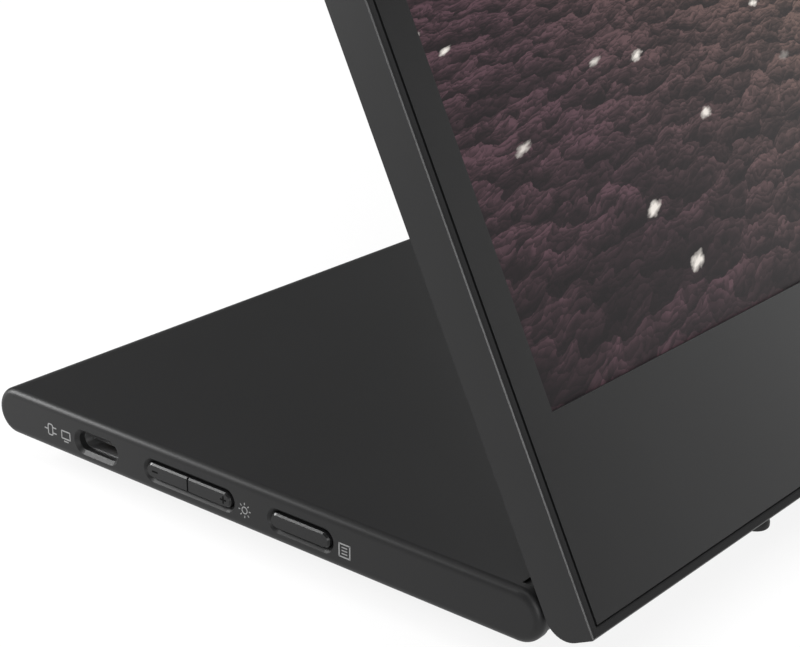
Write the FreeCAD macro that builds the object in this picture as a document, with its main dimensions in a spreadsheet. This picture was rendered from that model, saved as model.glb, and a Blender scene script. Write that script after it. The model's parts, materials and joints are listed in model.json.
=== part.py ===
import FreeCAD, Part
import os
import re
import Sketcher

# A portable display on a folding base. The display turns on a hinge along the front of a flat base,
# and the base carries the boards, the sockets and the keys. +X points to the right of someone facing
# the screen, +Y to the rear and +Z up. The origin is on the table, midway between the base's sides
# and midway between its front and rear ends.

DIMENSIONS = {
    # the whole object
    "overall_width": 323.4,
    "lean_angle": 26.2,
    "running_gap": 0.3,
    "fit_gap": 0.15,
    "overrun": 1.0,
    # base casing: a flat shell with full round ends, closed by a plate from below
    "base_depth": 104.1,
    "base_thickness": 7.5,
    "edge_softness": 1.2,
    "cover_wall": 1.2,
    "side_wall": 1.6,
    "rear_wall": 2.75,
    "bottom_wall": 1.0,
    # screw posts under the base's roof
    "post_radius": 2.2,
    "post_side_inset": 20.0,
    "post_end_inset": 5.0,
    "screw_radius": 0.7,
    "screw_head_radius": 1.5,
    "screw_head_height": 0.6,
    "screw_bite": 3.0,
    "leaf_bite": 2.2,
    "board_bite": 0.8,
    "screw_slack": 0.05,
    # feet: tapered rubber plugs
    "foot_height": 4.6,
    "foot_radius": 2.2,
    "foot_rim": 0.45,
    "foot_tread": 0.9,
    "foot_neck_radius": 1.3,
    "foot_stem_radius": 1.1,
    "foot_stem_length": 1.6,
    "foot_side_inset": 54.9,
    "front_foot_reach": 2.1,
    "rear_foot_inset": 9.75,
    # hinge: round barrel between two cheeks, with a fixed knuckle and a pin on each side
    "barrel_radius": 3.5,
    "cheek_width": 2.0,
    "knuckle_length": 20.0,
    "pin_radius": 1.4,
    "pin_reach": 9.0,
    "pin_running": 0.04,
    "bush_wall": 0.6,
    "bush_fit": 0.02,
    "leaf_low": 2.0,
    "leaf_thickness": 1.5,
    "leaf_depth": 24.0,
    "leaf_screw_pitch": 12.0,
    "leaf_screw_inset": 5.0,
    "web_drop": 2.2,
    "web_inset": 10.0,
    "web_bite": 0.6,
    # side openings: heights are above the base's underside, places are from the base's middle
    "port_height": 3.45,
    "key_height": 3.5,
    "port_place": 29.2,
    "brightness_place": 9.5,
    "menu_place": -12.1,
    "power_place": 9.5,
    "lock_place": -12.1,
    # sockets
    "usb_width": 8.94,
    "usb_height": 3.16,
    "usb_wall": 0.3,
    "usb_depth": 7.3,
    "usb_back": 0.8,
    "port_margin": 0.16,
    "port_bevel": 0.55,
    "tongue_width": 6.7,
    "tongue_thickness": 0.7,
    "tongue_setback": 0.9,
    # keys and their switches
    "key_width": 2.3,
    "brightness_length": 17.1,
    "menu_length": 10.85,
    "key_split": 0.3,
    "key_slack": 0.1,
    "key_bevel": 0.6,
    "key_proud": 0.2,
    "key_edge": 0.25,
    "key_travel": 0.35,
    "flange_lip": 0.6,
    "flange_thickness": 0.6,
    "plunger_slack": 0.05,
    "plunger_length": 0.6,
    "plunger_width": 2.4,
    "plunger_thickness": 1.2,
    "switch_width": 4.5,
    "switch_depth": 3.0,
    "switch_low": 2.2,
    # lock slot
    "lock_width": 6.0,
    "lock_height": 2.5,
    "lock_plate_margin": 1.0,
    "lock_plate_thickness": 0.8,
    # boards
    "board_thickness": 0.8,
    "board_inset": 3.1,
    "board_gap": 4.0,
    "board_margin": 9.0,
    "main_board_length": 118.0,
    "right_board_length": 42.0,
    "board_screw_inset": 7.0,
    "socket_gap": 1.5,
    "ribbon_thickness": 0.2,
    "ribbon_width": 12.0,
    "ribbon_lap": 6.0,
    "ribbon_place": 4.0,
    "display_ribbon_inset": 88.0,
    "can_length": 30.0,
    "can_depth": 24.0,
    "can_height": 1.7,
    "can_wall": 0.2,
    "can_inset": 48.0,
    "can_place": 10.0,
    "chip_side": 14.0,
    "chip_height": 1.1,
    "ballast_length": 130.0,
    "ballast_margin": 13.0,
    "ballast_thickness": 1.2,
    # display casing
    "display_height": 208.1,
    "display_thickness": 6.4,
    "display_drop": 4.2,
    "fold_gap": 0.8,
    "rim": 1.3,
    "rim_chamfer": 0.35,
    "ledge": 1.2,
    "back_wall": 1.3,
    "back_round": 3.3,
    "rib_thickness": 1.2,
    # screen and the layers behind it
    "side_bezel": 7.0,
    "top_bezel": 7.0,
    "chin": 27.1,
    "bezel_seam": 0.15,
    "bezel_recess": 0.1,
    "bezel_thickness": 0.5,
    "bezel_window": 0.3,
    "tape_thickness": 0.15,
    "tape_setback": 1.0,
    "cell_thickness": 1.0,
    "cell_margin": 2.5,
    "film_thickness": 0.3,
    "guide_thickness": 0.6,
    "guide_margin": 1.0,
    "reflector_thickness": 0.15,
    "pan_thickness": 0.3,
    "pan_wall": 0.4,
    "led_height": 0.9,
    "led_slack": 0.1,
    # display board in the chin
    "tcon_length": 260.0,
    "tcon_height": 14.0,
    "tcon_low": 1.5,
    "tcon_post": 0.6,
    "tcon_screw_inset": 6.0,
    "tcon_bite": 0.6,
    "display_ribbon_drop": 2.0,
}

# Shares of the size that they divide
RIB_SHARES = (-0.4, -0.2, 0.0, 0.2, 0.4)
CROSS_RIB_SHARES = (0.25, 0.5, 0.75)
TCON_SCREW_SHARES = (-1.0, -1 / 3, 1 / 3, 1.0)

DOC = FreeCAD.newDocument("portable_display")
SHEET = DOC.addObject("Spreadsheet::Sheet", "dims")
for row, (alias, size) in enumerate(DIMENSIONS.items(), start=1):
    SHEET.set(f"A{row}", alias.replace("_", " "))
    SHEET.set(f"B{row}", str(size))
    SHEET.setAlias(f"B{row}", alias)
DOC.recompute()

# Places worked out from the sheet. Base heights count from the base's underside. Display places
# count from the hinge axis: depths towards the viewer, heights up the display.
HALF_WIDTH = "(overall_width / 2)"
ROUND = "(base_thickness / 2)"
HINGE_Y = "((base_thickness - base_depth) / 2)"
ROOF = "(base_thickness - cover_wall)"
TROUGH_RADIUS = "(barrel_radius + running_gap)"
CAVITY_FRONT = f"({HINGE_Y} + {TROUGH_RADIUS} + cover_wall)"
CAVITY_REAR = "(base_depth / 2 - rear_wall)"
KNUCKLE_X = f"({HALF_WIDTH} - foot_side_inset)"
BORE_RADIUS = "(pin_radius + pin_running + bush_wall)"
BOARD_FRONT = f"({HINGE_Y} + leaf_depth + board_gap)"
BOARD_REAR = f"({CAVITY_REAR} - board_margin)"
BOARD_LOW = "(port_height + usb_height / 2)"
BOARD_TOP = f"({BOARD_LOW} + board_thickness)"
BACK = f"({ROUND} + fold_gap)"
FLOOR = f"({BACK} + back_wall)"
FRONT = f"({BACK} + display_thickness)"
BEZEL_FRONT = f"({FRONT} - bezel_recess)"
BEZEL_BACK = f"({BEZEL_FRONT} - bezel_thickness)"
CELL_FRONT = f"({BEZEL_BACK} - tape_thickness)"
CELL_BACK = f"({CELL_FRONT} - cell_thickness)"
FILM_BACK = f"({CELL_BACK} - film_thickness)"
GUIDE_BACK = f"({FILM_BACK} - guide_thickness)"
REFLECTOR_BACK = f"({GUIDE_BACK} - reflector_thickness)"
PAN_BACK = f"({REFLECTOR_BACK} - pan_thickness)"
DISPLAY_LOW = "(-display_drop)"
DISPLAY_HIGH = "(display_height - display_drop)"
ACTIVE_HALF_WIDTH = f"({HALF_WIDTH} - side_bezel)"
ACTIVE_HIGH = f"({DISPLAY_HIGH} - top_bezel)"
ACTIVE_LOW = f"({DISPLAY_LOW} + chin)"
TCON_BACK = f"({FLOOR} + tcon_post)"
TCON_FRONT = f"({TCON_BACK} + board_thickness)"

VECTOR = FreeCAD.Vector
TOUCH = 0.001
TURNS = {
    "x": FreeCAD.Rotation(VECTOR(0, 1, 0), 90),
    "y": FreeCAD.Rotation(VECTOR(1, 0, 0), -90),
    "z": FreeCAD.Rotation(),
}
NODES = []


def bound(text):
    """The words of a sum, as cells of the sheet."""
    return re.sub(r"\b[a-z]\w*", lambda word: "dims." + word.group(), text)


def bind(thing, path, text):
    thing.setExpression(path, bound(text))


# Bodies, and where they stand


def on_base(body):
    """Base pieces are drawn with the base's underside at height 0, then lifted onto the feet."""
    bind(body, "Placement.Base.z", "foot_height")


def on_display(body):
    """Display pieces are drawn upright about the hinge axis, then leant back on it."""
    body.Placement = FreeCAD.Placement(VECTOR(), FreeCAD.Rotation(VECTOR(1, 0, 0), 90))
    bind(body, "Placement.Base.y", HINGE_Y)
    bind(body, "Placement.Base.z", f"foot_height + {ROUND}")
    bind(body, "Placement.Rotation.Angle", "-lean_angle")


def new_body(label, place):
    body = DOC.addObject("PartDesign::Body", label)
    body.Label = label
    place(body)
    NODES.append(body)
    return body


# Features


def block(body, kind, x, y, z):
    """A box between two places on each axis, added to the body or cut from it."""
    solid = body.newObject(f"PartDesign::{kind}Box", f"{body.Label}_block")
    for side, axis, (low, high) in (("Length", "x", x), ("Width", "y", y), ("Height", "z", z)):
        bind(solid, side, f"({high}) - ({low})")
        bind(solid, f"Placement.Base.{axis}", low)
    return solid


def rod(body, kind, axis, radius, at, span):
    """A cylinder along one axis, added to the body or cut from it."""
    solid = body.newObject(f"PartDesign::{kind}Cylinder", f"{body.Label}_rod")
    solid.Placement = FreeCAD.Placement(VECTOR(), TURNS[axis])
    bind(solid, "Radius", radius)
    bind(solid, "Height", f"({span[1]}) - ({span[0]})")
    places = dict(zip((name for name in "xyz" if name != axis), at))
    places[axis] = span[0]
    for name, place in places.items():
        bind(solid, f"Placement.Base.{name}", place)
    return solid


def sketch_on(body, role, offset):
    sketch = body.newObject("Sketcher::SketchObject", f"{body.Label}_sketch")
    plane = next(item for item in body.Origin.OriginFeatures if item.Role == role)
    sketch.AttachmentSupport = [(plane, "")]
    sketch.MapMode = "FlatFace"
    bind(sketch, "AttachmentOffset.Base.z", offset)
    return sketch


def place_point(sketch, geometry, point, x, y):
    """Ties one point of a sketch to its place from the sketch's origin."""
    for kind, text in (("DistanceX", x), ("DistanceY", y)):
        index = sketch.addConstraint(Sketcher.Constraint(kind, -1, 1, geometry, point, 1.0))
        bind(sketch, f"Constraints[{index}]", text)


def polygon(sketch, points):
    """A closed outline of straight runs through points given as sums."""
    count = len(points)
    turns = [FreeCAD.Rotation(VECTOR(0, 0, 1), 360 * n / count) for n in range(count)]
    ring = [turn.multVec(VECTOR(1, 0, 0)) for turn in turns]
    for n in range(count):
        sketch.addGeometry(Part.LineSegment(ring[n], ring[(n + 1) % count]))
    for n in range(count):
        sketch.addConstraint(Sketcher.Constraint("Coincident", n, 2, (n + 1) % count, 1))
    for n, (x, y) in enumerate(points):
        place_point(sketch, n, 1, x, y)


def slot_outline(sketch, x, y, half_run, radius):
    """A slot with round ends: two straight runs between two half circles."""
    right = Part.Circle(VECTOR(1, 0, 0), VECTOR(0, 0, 1), 1)
    left = Part.Circle(VECTOR(-1, 0, 0), VECTOR(0, 0, 1), 1)
    quarter = FreeCAD.Units.Quantity("90 deg").getValueAs("rad").Value
    sketch.addGeometry(Part.LineSegment(VECTOR(-1, -1, 0), VECTOR(1, -1, 0)))
    sketch.addGeometry(Part.ArcOfCircle(right, -quarter, quarter))
    sketch.addGeometry(Part.LineSegment(VECTOR(1, 1, 0), VECTOR(-1, 1, 0)))
    sketch.addGeometry(Part.ArcOfCircle(left, quarter, 3 * quarter))
    for n in range(4):
        sketch.addConstraint(Sketcher.Constraint("Tangent", n, 2, (n + 1) % 4, 1))
    sketch.addConstraint(Sketcher.Constraint("Horizontal", 0))
    sketch.addConstraint(Sketcher.Constraint("Equal", 1, 3))
    place_point(sketch, 1, 3, f"({x}) + ({half_run})", y)
    end_round = sketch.addConstraint(Sketcher.Constraint("Radius", 1, 1.0))
    bind(sketch, f"Constraints[{end_round}]", radius)
    run = sketch.addConstraint(Sketcher.Constraint("DistanceX", 3, 3, 1, 3, 1.0))
    bind(sketch, f"Constraints[{run}]", f"2 * ({half_run})")


def slot(body, kind, x_span, y, z, length, height):
    """A slot-shaped prism along X: a Pad that adds it or a Pocket that cuts it."""
    low, high = x_span
    sketch = sketch_on(body, "YZ_Plane", low if kind == "Pad" else high)
    slot_outline(sketch, y, z, f"(({length}) - ({height})) / 2", f"({height}) / 2")
    feature = body.newObject(f"PartDesign::{kind}", f"{body.Label}_slot")
    feature.Profile = sketch
    bind(feature, "Length", f"({high}) - ({low})")
    return feature


def dress(body, kind, base, edges, size_path, size):
    """A fillet or chamfer on the named edges of the feature before it."""
    feature = body.newObject(f"PartDesign::{kind}", f"{body.Label}_{kind.lower()}")
    feature.Base = (base, edges)
    bind(feature, size_path, size)
    DOC.recompute()
    return feature


def same(a, b):
    return abs(a - b) < TOUCH


def edges_where(feature, test):
    """Names of the edges whose box passes a test against the whole feature's box."""
    DOC.recompute()
    box = feature.Shape.BoundBox
    return [f"Edge{n}" for n, edge in enumerate(feature.Shape.Edges, start=1) if test(edge.BoundBox, box)]


def mouth_edges(feature):
    """Names of the edges round a side opening, where its slot meets the outer side face."""
    DOC.recompute()
    shape = feature.Shape
    middle = feature.Profile[0].Shape.BoundBox.Center
    end = shape.BoundBox.XMin if middle.x < 0 else shape.BoundBox.XMax
    wires = [wire for face in shape.Faces for wire in face.Wires
             if wire.BoundBox.XLength < TOUCH and same(wire.BoundBox.XMin, end)
             and wire.BoundBox.YMin < middle.y < wire.BoundBox.YMax]
    mouth = min(wires, key=lambda wire: wire.Length)
    return [f"Edge{n}" for n, edge in enumerate(shape.Edges, start=1)
            if any(edge.isSame(other) for other in mouth.Edges)]


# Spans


def around(middle, size):
    return f"({middle}) - ({size}) / 2", f"({middle}) + ({size}) / 2"


def across(half):
    return f"-({half})", half


def inward(side, near, far):
    """The stretch of X between two distances inside a side face of the base."""
    if side == "left":
        return f"-{HALF_WIDTH} + ({near})", f"-{HALF_WIDTH} + ({far})"
    return f"{HALF_WIDTH} - ({far})", f"{HALF_WIDTH} - ({near})"


def deep(near, far):
    """The stretch of Y between two depths of the display, counted towards the viewer."""
    return f"-({far})", f"-({near})"


SIGNS = {"left": "-1", "right": "1"}
BETWEEN_CHEEKS = across(f"{HALF_WIDTH} - cheek_width")
POSTS = [
    (x, y)
    for x in (f"post_side_inset - {HALF_WIDTH}", "0", f"{HALF_WIDTH} - post_side_inset")
    for y in (f"{CAVITY_FRONT} + post_end_inset", f"{CAVITY_REAR} - post_end_inset")
]
MAIN_BOARD_X = inward("left", "board_inset", "board_inset + main_board_length")
RIGHT_BOARD_X = inward("right", "board_inset", "board_inset + right_board_length")
BEHIND_SOCKET = f"-{HALF_WIDTH} + side_wall + usb_depth + socket_gap"
BOARD_ROWS = (f"{BOARD_FRONT} + board_screw_inset", f"{BOARD_REAR} - board_screw_inset")
MAIN_BOARD_SPOTS = [
    (x, y)
    for x in (f"{BEHIND_SOCKET} + screw_head_radius", f"{MAIN_BOARD_X[1]} - board_screw_inset")
    for y in BOARD_ROWS
]
RIGHT_BOARD_SPOTS = [(f"{RIGHT_BOARD_X[0]} + board_screw_inset", y) for y in BOARD_ROWS]
LEAF_SPOTS = {
    side: [
        (x, f"{HINGE_Y} + leaf_depth - leaf_screw_inset")
        for x in around(f"{sign} * {KNUCKLE_X}", "leaf_screw_pitch")
    ]
    for side, sign in SIGNS.items()
}
LEAF_TOP = "(leaf_low + leaf_thickness)"
REAR_FEET_Y = "(base_depth / 2 - rear_foot_inset)"
SWITCH_FRONT = "(side_wall + running_gap + flange_thickness + key_travel + plunger_slack)"
DISPLAY_RIBBON_X = around(f"display_ribbon_inset - {HALF_WIDTH}", "ribbon_width")
TCON_SPOTS = [
    (f"{share} * (tcon_length / 2 - tcon_screw_inset)", "tcon_low + tcon_height / 2")
    for share in TCON_SCREW_SHARES
]


# Base casing


def side_opening(body, side, y, z, length, height, bevel):
    """A slot through a side wall with a bevelled mouth."""
    cut = slot(body, "Pocket", inward(side, "-overrun", "side_wall + overrun"), y, z, length, height)
    dress(body, "Chamfer", cut, mouth_edges(cut), "Size", bevel)


def screw_post(body, spot, low, bite):
    """A post under the roof, with the hole that its screw bites into."""
    rod(body, "Additive", "z", "post_radius", spot, (low, f"{ROOF} + cover_wall / 2"))
    rod(body, "Subtractive", "z", "screw_radius + screw_slack", spot,
        (f"{low} - overrun", f"{low} + {bite} + screw_slack"))


def base_top_cover():
    """Moulded shell: roof, round rear end, sides and the two cheeks that close the hinge's ends."""
    body = new_body("base_top_cover", on_base)
    shell = slot(body, "Pad", across(HALF_WIDTH), "0", ROUND, "base_depth", "base_thickness")
    outline = edges_where(shell, lambda edge, box: edge.XLength < TOUCH)
    dress(body, "Fillet", shell, outline, "Radius", "edge_softness")
    block(body, "Subtractive", across(f"{HALF_WIDTH} - side_wall"), (CAVITY_FRONT, CAVITY_REAR),
          ("-overrun", ROOF))
    rod(body, "Subtractive", "x", TROUGH_RADIUS, (HINGE_Y, ROUND), BETWEEN_CHEEKS)
    block(body, "Subtractive", BETWEEN_CHEEKS, ("-base_depth / 2 - overrun", HINGE_Y),
          ("-overrun", "base_thickness + overrun"))
    for sign in SIGNS.values():
        block(body, "Subtractive", around(f"{sign} * {KNUCKLE_X}", "knuckle_length + 2 * running_gap"),
              (HINGE_Y, f"{CAVITY_FRONT} + overrun"), ("leaf_low - fit_gap", f"{LEAF_TOP} + fit_gap"))
    for spot in POSTS:
        screw_post(body, spot, "bottom_wall", "screw_bite")
    for spots in LEAF_SPOTS.values():
        for spot in spots:
            screw_post(body, spot, LEAF_TOP, "leaf_bite")
    for spot in MAIN_BOARD_SPOTS + RIGHT_BOARD_SPOTS:
        screw_post(body, spot, BOARD_TOP, "board_bite")
    for side in SIGNS:
        side_opening(body, side, "port_place", "port_height", "usb_width - 2 * usb_wall + 2 * port_margin",
                     "usb_height - 2 * usb_wall + 2 * port_margin", "port_bevel")
    for side, place, length in (("left", "brightness_place", "brightness_length"),
                                ("left", "menu_place", "menu_length"),
                                ("right", "power_place", "menu_length")):
        side_opening(body, side, place, "key_height", f"{length} + 2 * key_slack",
                     "key_width + 2 * key_slack", "key_bevel")
    block(body, "Subtractive", inward("right", "-overrun", "side_wall + overrun"),
          around("lock_place", "lock_width"), around("key_height", "lock_height"))


def base_bottom_cover():
    """Flat plate that drops into the top cover from below, with sunk screw holes and holes for feet."""
    body = new_body("base_bottom_cover", on_base)
    block(body, "Additive", across(f"{HALF_WIDTH} - side_wall - fit_gap"),
          (f"{CAVITY_FRONT} + fit_gap", f"{CAVITY_REAR} - fit_gap"), ("0", "bottom_wall"))
    for spot in POSTS:
        rod(body, "Subtractive", "z", "screw_head_radius + screw_slack", spot,
            ("-overrun", "screw_head_height"))
        rod(body, "Subtractive", "z", "screw_radius + screw_slack", spot,
            ("-overrun", "bottom_wall + overrun"))
    for sign in SIGNS.values():
        rod(body, "Subtractive", "z", "foot_stem_radius + bush_fit", (f"{sign} * {KNUCKLE_X}", REAR_FEET_Y),
            ("-overrun", "bottom_wall + overrun"))


def screws(label, place, axis, spots, head, tip):
    """A set of like screws: a flat head, then a shank on to the tip."""
    body = new_body(label, place)
    body.AllowCompound = True
    for spot in spots:
        rod(body, "Additive", axis, "screw_head_radius", spot, head)
        rod(body, "Additive", axis, "screw_radius", spot, (head[1], tip))


def plate(label, place, x, y, z):
    """A plain flat piece."""
    body = new_body(label, place)
    block(body, "Additive", x, y, z)
    return body


def foot(label, x, y):
    """Rubber plug turned about its own axis: a tread, a taper and a stem that is pushed into a hole."""
    def on_table(body):
        bind(body, "Placement.Base.x", x)
        bind(body, "Placement.Base.y", y)

    body = new_body(label, on_table)
    sketch = sketch_on(body, "XZ_Plane", "0")
    top = "foot_height + foot_stem_length"
    polygon(sketch, (("0", "0"), ("foot_radius", "0"), ("foot_radius", "foot_tread"),
                     ("foot_neck_radius", "foot_height"), ("foot_stem_radius", "foot_height"),
                     ("foot_stem_radius", top), ("0", top)))
    turned = body.newObject("PartDesign::Revolution", f"{label}_turned")
    turned.Profile = sketch
    turned.ReferenceAxis = (sketch, ["V_Axis"])
    rim = edges_where(turned, lambda edge, box: edge.ZLength < TOUCH and same(edge.ZMin, box.ZMin))
    dress(body, "Fillet", turned, rim, "Radius", "foot_rim")


# Hinge


def hinge_knuckle(side, sign):
    """Fixed half of the hinge: a knuckle with a leaf that is screwed up under the base's roof."""
    body = new_body(f"hinge_knuckle_{side}", on_base)
    middle = f"{sign} * {KNUCKLE_X}"
    x = around(middle, "knuckle_length")
    rod(body, "Additive", "x", "barrel_radius", (HINGE_Y, ROUND), x)
    block(body, "Additive", x, (HINGE_Y, f"{HINGE_Y} + leaf_depth"), ("leaf_low", LEAF_TOP))
    rod(body, "Subtractive", "x", f"{BORE_RADIUS} + bush_fit", (HINGE_Y, ROUND),
        around(middle, "knuckle_length + 2 * overrun"))
    rod(body, "Subtractive", "z", "foot_stem_radius + bush_fit", (middle, f"{HINGE_Y} - front_foot_reach"),
        ("-overrun", "foot_stem_length + bush_fit"))
    for spot in LEAF_SPOTS[side]:
        rod(body, "Subtractive", "z", "screw_radius + screw_slack", spot,
            ("leaf_low - overrun", f"{LEAF_TOP} + overrun"))


def hinge_bush(side, sign):
    """Friction bush pressed into the knuckle, in which the pin turns."""
    body = new_body(f"hinge_bush_{side}", on_base)
    middle = f"{sign} * {KNUCKLE_X}"
    rod(body, "Additive", "x", BORE_RADIUS, (HINGE_Y, ROUND), around(middle, "knuckle_length"))
    rod(body, "Subtractive", "x", "pin_radius + pin_running", (HINGE_Y, ROUND),
        around(middle, "knuckle_length + 2 * overrun"))


def hinge_pin(side, sign):
    """Steel pin held in the display's barrel on both sides of the knuckle."""
    body = new_body(f"hinge_pin_{side}", on_display)
    rod(body, "Additive", "x", "pin_radius", ("0", "0"),
        around(f"{sign} * {KNUCKLE_X}", "knuckle_length + 2 * pin_reach"))


# Sockets, keys and switches


def usb_socket(side):
    """Metal shell with round ends behind the side wall, closed at the back, and the flat tongue in it."""
    shell = new_body(f"usb_c_shell_{side}", on_base)
    slot(shell, "Pad", inward(side, "side_wall", "side_wall + usb_depth"), "port_place", "port_height",
         "usb_width", "usb_height")
    slot(shell, "Pocket", inward(side, "side_wall - overrun", "side_wall + usb_depth - usb_back"),
         "port_place", "port_height", "usb_width - 2 * usb_wall", "usb_height - 2 * usb_wall")
    plate(f"usb_c_tongue_{side}", on_base,
          inward(side, "side_wall + tongue_setback", "side_wall + usb_depth - usb_back"),
          around("port_place", "tongue_width"), around("port_height", "tongue_thickness"))


def key(label, side, place, length, cut_away):
    """Pill-shaped key with a softened face, and the flange inside the wall that keeps it in."""
    body = new_body(label, on_base)
    seat = "side_wall + running_gap"
    stem = slot(body, "Pad", inward(side, "-key_proud", seat), place, "key_height", length, "key_width")
    face = edges_where(stem, lambda edge, box: edge.XLength < TOUCH
                       and same(edge.XMin, box.XMin if side == "left" else box.XMax))
    dress(body, "Chamfer", stem, face, "Size", "key_edge")
    slot(body, "Pad", inward(side, seat, f"{seat} + flange_thickness"), place, "key_height",
         f"{length} + 2 * flange_lip", "key_width + 2 * flange_lip")
    if cut_away:
        whole = inward(side, "-key_proud - overrun", f"{seat} + flange_thickness + overrun")
        block(body, "Subtractive", whole, cut_away, ("0", "base_thickness"))


def switch(label, side, y):
    """Push switch under the board, with its plunger behind the key."""
    body = plate(label, on_base, inward(side, f"{SWITCH_FRONT} + plunger_length",
                                        f"{SWITCH_FRONT} + plunger_length + switch_depth"),
                 around(y, "switch_width"), ("switch_low", BOARD_LOW))
    block(body, "Additive", inward(side, SWITCH_FRONT, f"{SWITCH_FRONT} + plunger_length"),
          around(y, "plunger_width"), around("key_height", "plunger_thickness"))


def lock_insert():
    """Steel plate behind the lock slot in the right-hand side wall."""
    body = plate("lock_insert", on_base, inward("right", "side_wall", "side_wall + lock_plate_thickness"),
                 around("lock_place", "lock_width + 2 * lock_plate_margin"),
                 around("key_height", "lock_height + 2 * lock_plate_margin"))
    block(body, "Subtractive",
          inward("right", "side_wall - overrun", "side_wall + lock_plate_thickness + overrun"),
          around("lock_place", "lock_width"), around("key_height", "lock_height"))


# Boards


def board(label, x, spots):
    """Circuit board hung under the roof on its screw posts."""
    body = plate(label, on_base, x, (BOARD_FRONT, BOARD_REAR), (BOARD_LOW, BOARD_TOP))
    for spot in spots:
        rod(body, "Subtractive", "z", "screw_radius + screw_slack", spot,
            (f"{BOARD_LOW} - overrun", f"{BOARD_TOP} + overrun"))


def main_chip():
    """Picture processor under its sheet-metal can, on the underside of the main board."""
    middle = f"{MAIN_BOARD_X[0]} + can_inset"
    can = plate("shield_can", on_base, around(middle, "can_length"), around("can_place", "can_depth"),
                (f"{BOARD_LOW} - can_height", BOARD_LOW))
    block(can, "Subtractive", around(middle, "can_length - 2 * can_wall"),
          around("can_place", "can_depth - 2 * can_wall"),
          (f"{BOARD_LOW} - can_height + can_wall", f"{BOARD_LOW} + overrun"))
    plate("scaler_chip", on_base, around(middle, "chip_side"), around("can_place", "chip_side"),
          (f"{BOARD_LOW} - chip_height", BOARD_LOW))


def base_ribbons():
    """Flat cables: one from board to board, one from the main board to the hinge."""
    height = (f"{BOARD_LOW} - ribbon_thickness", BOARD_LOW)
    plate("io_cable", on_base, (f"{MAIN_BOARD_X[1]} - ribbon_lap", f"{RIGHT_BOARD_X[0]} + ribbon_lap"),
          around("ribbon_place", "ribbon_width"), height)
    plate("base_cable", on_base, DISPLAY_RIBBON_X, (CAVITY_FRONT, f"{BOARD_FRONT} + ribbon_lap"), height)


# Display


def display_rear_cover():
    """Moulded tray with a rim, ribs behind the screen, and the hinge barrel along its lower edge."""
    body = new_body("display_rear_cover", on_display)
    tray = block(body, "Additive", across(HALF_WIDTH), deep(BACK, FRONT), (DISPLAY_LOW, DISPLAY_HIGH))
    back = edges_where(tray, lambda edge, box: edge.XLength > TOUCH and same(edge.YMin, box.YMax))
    dress(body, "Fillet", tray, back, "Radius", "back_round")
    for inset, floor in (("rim", CELL_FRONT), ("rim + ledge", FLOOR)):
        tray = block(body, "Subtractive", across(f"{HALF_WIDTH} - ({inset})"),
                     deep(floor, f"{FRONT} + overrun"),
                     (f"{DISPLAY_LOW} + {inset}", f"{DISPLAY_HIGH} - ({inset})"))
    rim_edges = edges_where(tray, lambda edge, box: same(edge.YMax, box.YMin))
    dress(body, "Chamfer", tray, rim_edges, "Size", "rim_chamfer")
    outer = f"({HALF_WIDTH} - cheek_width - running_gap)"
    near = f"({KNUCKLE_X} + knuckle_length / 2 + running_gap)"
    inner = f"({KNUCKLE_X} - knuckle_length / 2 - running_gap)"
    for barrel, web in (((f"-{outer}", f"-{near}"), (f"web_inset - {outer}", f"-{near}")),
                        (across(inner), across(inner)),
                        ((near, outer), (near, f"{outer} - web_inset"))):
        block(body, "Additive", web, deep("0", f"{BACK} + web_bite"), ("-web_drop", "0"))
        rod(body, "Additive", "x", "barrel_radius", ("0", "0"), barrel)
    for sign in SIGNS.values():
        rod(body, "Subtractive", "x", "pin_radius + bush_fit", ("0", "0"),
            around(f"{sign} * {KNUCKLE_X}", "knuckle_length + 2 * pin_reach + 2 * fit_gap"))
    rib_depth = deep(f"{FLOOR} - back_wall / 2", PAN_BACK)
    for share in RIB_SHARES:
        block(body, "Additive", around(f"{share} * 2 * {ACTIVE_HALF_WIDTH}", "rib_thickness"), rib_depth,
              (ACTIVE_LOW, ACTIVE_HIGH))
    for share in CROSS_RIB_SHARES:
        block(body, "Additive", across(f"{RIB_SHARES[-1]} * 2 * {ACTIVE_HALF_WIDTH}"), rib_depth,
              around(f"{ACTIVE_LOW} + {share} * ({ACTIVE_HIGH} - {ACTIVE_LOW})", "rib_thickness"))
    for spot in TCON_SPOTS:
        rod(body, "Additive", "y", "post_radius", spot, deep(f"{FLOOR} - back_wall / 2", TCON_BACK))
        rod(body, "Subtractive", "y", "screw_radius + screw_slack", spot,
            deep(f"{FLOOR} - tcon_bite - screw_slack", f"{TCON_BACK} + overrun"))


def layer(label, margin, back, front):
    """A sheet as large as the screen's active area and a margin all round."""
    return plate(label, on_display, across(f"{ACTIVE_HALF_WIDTH} + {margin}"), deep(back, front),
                 (f"{ACTIVE_LOW} - {margin}", f"{ACTIVE_HIGH} + {margin}"))


def window(body, margin, back, front):
    """Cuts the active area and a margin all round out of a layer."""
    block(body, "Subtractive", across(f"{ACTIVE_HALF_WIDTH} + {margin}"), deep(back, front),
          (f"{ACTIVE_LOW} - ({margin})", f"{ACTIVE_HIGH} + {margin}"))


def screen_frame(label, inset, margin, back, front):
    """A flat frame that fills the rim up to the screen's window."""
    body = plate(label, on_display, across(f"{HALF_WIDTH} - rim - {inset}"), deep(back, front),
                 (f"{DISPLAY_LOW} + rim + {inset}", f"{DISPLAY_HIGH} - rim - {inset}"))
    window(body, margin, f"{back} - overrun", f"{front} + overrun")


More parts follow.
